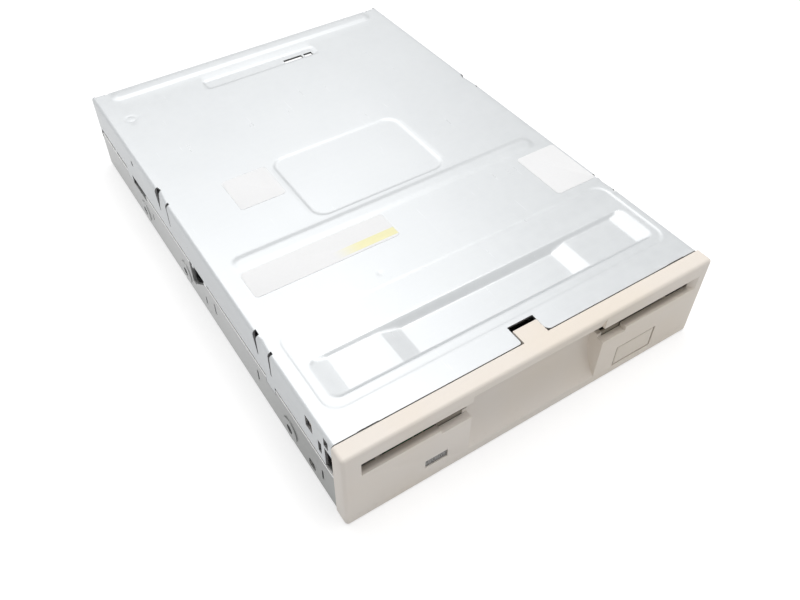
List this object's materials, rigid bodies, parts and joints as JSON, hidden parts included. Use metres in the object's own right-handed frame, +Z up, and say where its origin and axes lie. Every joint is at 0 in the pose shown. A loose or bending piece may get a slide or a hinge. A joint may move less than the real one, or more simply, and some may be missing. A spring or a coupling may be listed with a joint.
{
  "type": "floppy disk drive",
  "caption": "Flat steel-cased drive for 3.5-inch floppy disks with an ivory front: a slot with a flap, a finger scoop, an eject button and a lamp window.",
  "frame": {"origin": "middle of the drive's footprint, on its underside", "axes": "+X to the right seen from the front, +Y to the back, +Z up; the bezel faces -Y"},
  "size_m": [0.1016, 0.1492, 0.0254],
  "materials": {
    "cover_steel": "galvanised sheet, satin",
    "frame_steel": "plated sheet, satin",
    "inner_steel": "plated sheet, satin",
    "turned_steel": "ground bright",
    "bezel_plastic": "ivory, fine texture",
    "flap_plastic": "ivory, fine texture",
    "button_plastic": "ivory, fine texture",
    "lens_plastic": "smoke grey",
    "black_plastic": "moulded",
    "white_plastic": "moulded",
    "grey_plastic": "moulded",
    "zinc_cast": "as cast",
    "board": "solder resist",
    "copper": "enamelled wire",
    "magnet": "sintered",
    "ceramic": "polished ferrite",
    "pin_metal": "plated",
    "bronze": "sintered",
    "flex_film": "film"
  },
  "bodies": {
    "housing": {"top_cover": "cover_steel", "chassis": "frame_steel", "front_bezel": "bezel_plastic", "flap_rod": "turned_steel", "flap_spring": "turned_steel", "led_lens": "lens_plastic", "activity_led": "white_plastic", "slide_guides": "turned_steel", "eject_springs": "turned_steel", "disk_posts": "turned_steel", "bearing_housing": "bronze", "stator_core": "inner_steel", "stator_coils": "copper", "motor_board": "board", "main_board": "board", "board_chips": "black_plastic", "board_link": "flex_film", "bottom_shield": "frame_steel", "data_connector": "black_plastic", "data_pins": "pin_metal", "power_connector": "white_plastic", "power_pins": "pin_metal", "guide_rod": "turned_steel", "rod_clips": "black_plastic", "track_sensor": "black_plastic", "stepper_motor": "inner_steel", "stepper_bracket": "inner_steel", "disk_switches": "black_plastic"},
    "flap": {"slot_flap": "flap_plastic"},
    "slide": {"slide_plate": "inner_steel", "eject_button": "button_plastic"},
    "carrier": {"disk_carrier": "inner_steel", "carrier_rollers": "turned_steel", "lever_pivot": "turned_steel", "lever_spring": "turned_steel"},
    "lever": {"shutter_lever": "inner_steel"},
    "spindle": {"spindle_shaft": "turned_steel", "spindle_hub": "turned_steel", "hub_magnet": "magnet", "drive_pin": "turned_steel", "rotor_cup": "inner_steel", "rotor_magnet": "magnet"},
    "carriage": {"head_carriage": "zinc_cast", "lower_head": "ceramic", "arm_pivot": "turned_steel", "arm_spring": "turned_steel"},
    "arm": {"head_arm": "inner_steel", "upper_head": "ceramic"},
    "screw": {"lead_screw": "turned_steel"},
    "write_button": {"write_plunger": "white_plastic"},
    "disk_button": {"disk_plunger": "white_plastic"},
    "density_button": {"density_plunger": "white_plastic"}
  },
  "joints": [
    {"name": "eject_slide", "type": "slide", "parent": "housing", "child": "slide", "axis": [0, 1, 0], "range_m": [-0.0055, 0], "deforming": ["eject_springs"]},
    {"name": "carrier_drop", "type": "slide", "parent": "housing", "child": "carrier", "axis": [0, 0, 1], "range_m": [-0.0024, 0]},
    {"name": "flap_swing", "type": "hinge", "parent": "housing", "child": "flap", "pos_m": [0, -0.07003, 0.02225], "axis": [1, 0, 0], "range_deg": [0, 84], "stiffness_Nm_per_rad": 0.002, "springref_deg": -11.46},
    {"name": "lever_swing", "type": "hinge", "parent": "carrier", "child": "lever", "pos_m": [0.04, 0.01758, 0.0224], "axis": [0, 0, 1], "range_deg": [-56, 0], "stiffness_Nm_per_rad": 0.002, "springref_deg": 11.46, "deforming": ["lever_spring"]},
    {"name": "spindle_spin", "type": "hinge", "parent": "housing", "child": "spindle", "pos_m": [0, -0.02243, 0.009], "axis": [0, 0, 1], "continuous": true},
    {"name": "head_step", "type": "slide", "parent": "housing", "child": "carriage", "axis": [0, 1, 0], "range_m": [-0.015, 0]},
    {"name": "screw_spin", "type": "hinge", "parent": "housing", "child": "screw", "pos_m": [0.022, 0.02958, 0.0124], "axis": [0, 1, 0], "range_deg": [-1800.5, 0.5]},
    {"name": "arm_lift", "type": "hinge", "parent": "carriage", "child": "arm", "pos_m": [0, 0.04358, 0.0186], "axis": [-1, 0, 0], "range_deg": [-9.5, 0]},
    {"name": "write_press", "type": "slide", "parent": "housing", "child": "write_button", "axis": [0, 0, 1], "range_m": [-0.001, 0], "stiffness_N_per_m": 200, "springref_m": 0.001},
    {"name": "disk_press", "type": "slide", "parent": "housing", "child": "disk_button", "axis": [0, 0, 1], "range_m": [-0.001, 0], "stiffness_N_per_m": 200, "springref_m": 0.001},
    {"name": "density_press", "type": "slide", "parent": "housing", "child": "density_button", "axis": [0, 0, 1], "range_m": [-0.001, 0], "stiffness_N_per_m": 200, "springref_m": 0.001}
  ],
  "couplings": [
    {"joint": "carrier_drop", "follows": "eject_slide", "ratio": 0.43636},
    {"joint": "arm_lift", "follows": "eject_slide", "rad_per_m": 30.146},
    {"joint": "screw_spin", "follows": "head_step", "rad_per_m": 2094.4}
  ]
}
